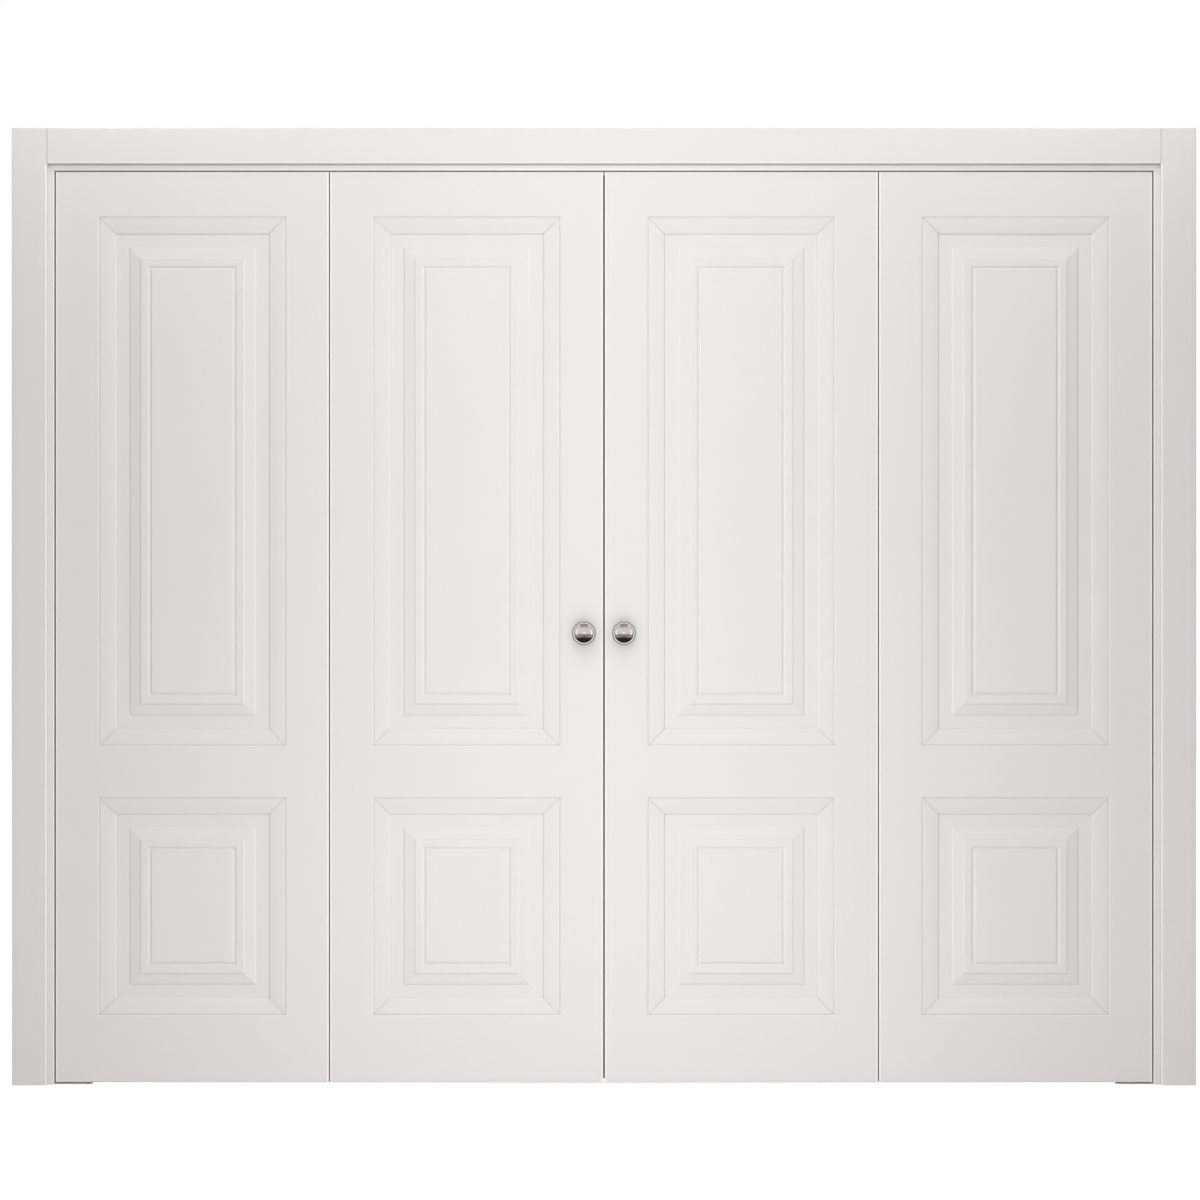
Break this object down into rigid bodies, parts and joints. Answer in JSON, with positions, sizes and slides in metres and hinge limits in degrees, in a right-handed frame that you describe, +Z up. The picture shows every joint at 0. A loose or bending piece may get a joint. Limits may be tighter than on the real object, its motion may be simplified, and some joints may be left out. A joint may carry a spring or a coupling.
{
  "type": "double bi-fold door",
  "caption": "Double bi-fold door: two pairs of folding raised-panel leaves with round knobs, hung on pivots and a top track in a cased frame.",
  "frame": {"origin": "on the floor, in the middle of the doorway's width and of the whole depth", "axes": "+X along the wall to the right seen from the knob side, +Y into the wall away from the knobs, +Z up"},
  "size_m": [2.624, 0.144, 2.1205],
  "materials": {
    "painted_leaf": "silk white paint",
    "painted_frame": "silk white paint",
    "track_aluminium": "drawn, mill finish",
    "pivot_steel": "zinc plated",
    "hinge_steel": "satin nickel plated",
    "wheel_nylon": "moulded nylon",
    "knob_nickel": "polished nickel with a satin rim"
  },
  "bodies": {
    "frame": {"left_jamb": "painted_frame", "right_jamb": "painted_frame", "head_jamb": "painted_frame", "left_casing": "painted_frame", "right_casing": "painted_frame", "head_casing": "painted_frame", "track": "track_aluminium", "top_pivot_block_left": "pivot_steel", "top_pivot_block_right": "pivot_steel", "floor_bracket_left": "pivot_steel", "floor_bracket_right": "pivot_steel"},
    "pivot_leaf_left": {"pivot_leaf_left_stiles": "painted_leaf", "pivot_leaf_left_bottom_rail": "painted_leaf", "pivot_leaf_left_lock_rail": "painted_leaf", "pivot_leaf_left_top_rail": "painted_leaf", "pivot_leaf_left_lower_panel": "painted_leaf", "pivot_leaf_left_upper_panel": "painted_leaf", "pivot_leaf_left_mouldings": "painted_leaf", "top_pivot_left": "pivot_steel", "bottom_pivot_left": "pivot_steel", "pivot_leaf_hinge_plates_left": "hinge_steel"},
    "pull_leaf_left": {"pull_leaf_left_stiles": "painted_leaf", "pull_leaf_left_bottom_rail": "painted_leaf", "pull_leaf_left_lock_rail": "painted_leaf", "pull_leaf_left_top_rail": "painted_leaf", "pull_leaf_left_lower_panel": "painted_leaf", "pull_leaf_left_upper_panel": "painted_leaf", "pull_leaf_left_mouldings": "painted_leaf", "pull_leaf_hinge_plates_left": "hinge_steel", "guide_pin_left": "pivot_steel", "knob_left": "knob_nickel", "aligner_left": "pivot_steel"},
    "guide_wheel_left": {"guide_wheel_left": "wheel_nylon"},
    "pivot_leaf_right": {"pivot_leaf_right_stiles": "painted_leaf", "pivot_leaf_right_bottom_rail": "painted_leaf", "pivot_leaf_right_lock_rail": "painted_leaf", "pivot_leaf_right_top_rail": "painted_leaf", "pivot_leaf_right_lower_panel": "painted_leaf", "pivot_leaf_right_upper_panel": "painted_leaf", "pivot_leaf_right_mouldings": "painted_leaf", "top_pivot_right": "pivot_steel", "bottom_pivot_right": "pivot_steel", "pivot_leaf_hinge_plates_right": "hinge_steel"},
    "pull_leaf_right": {"pull_leaf_right_stiles": "painted_leaf", "pull_leaf_right_bottom_rail": "painted_leaf", "pull_leaf_right_lock_rail": "painted_leaf", "pull_leaf_right_top_rail": "painted_leaf", "pull_leaf_right_lower_panel": "painted_leaf", "pull_leaf_right_upper_panel": "painted_leaf", "pull_leaf_right_mouldings": "painted_leaf", "pull_leaf_hinge_plates_right": "hinge_steel", "guide_pin_right": "pivot_steel", "knob_right": "knob_nickel", "aligner_right": "pivot_steel"},
    "guide_wheel_right": {"guide_wheel_right": "wheel_nylon"}
  },
  "joints": [
    {"name": "left_pair_fold", "type": "hinge", "parent": "frame", "child": "pivot_leaf_left", "pos_m": [-1.167, -0.0245, 1], "axis": [0, 0, -1], "range_deg": [0, 85]},
    {"name": "left_pair_hinge", "type": "hinge", "parent": "pivot_leaf_left", "child": "pull_leaf_left", "pos_m": [-0.60938, -0.0025, 1], "axis": [0, 0, 1], "range_deg": [0, 170]},
    {"name": "left_guide_roll", "type": "hinge", "parent": "pull_leaf_left", "child": "guide_wheel_left", "pos_m": [-0.05175, -0.0245, 2.036], "axis": [0, 0, 1], "continuous": true},
    {"name": "right_pair_fold", "type": "hinge", "parent": "frame", "child": "pivot_leaf_right", "pos_m": [1.167, -0.0245, 1], "axis": [0, 0, 1], "range_deg": [0, 85]},
    {"name": "right_pair_hinge", "type": "hinge", "parent": "pivot_leaf_right", "child": "pull_leaf_right", "pos_m": [0.60938, -0.0025, 1], "axis": [0, 0, -1], "range_deg": [0, 170]},
    {"name": "right_guide_roll", "type": "hinge", "parent": "pull_leaf_right", "child": "guide_wheel_right", "pos_m": [0.05175, -0.0245, 2.036], "axis": [0, 0, 1], "continuous": true}
  ],
  "couplings": [
    {"joint": "left_pair_hinge", "follows": "left_pair_fold", "ratio": 2},
    {"joint": "right_pair_hinge", "follows": "right_pair_fold", "ratio": 2}
  ]
}
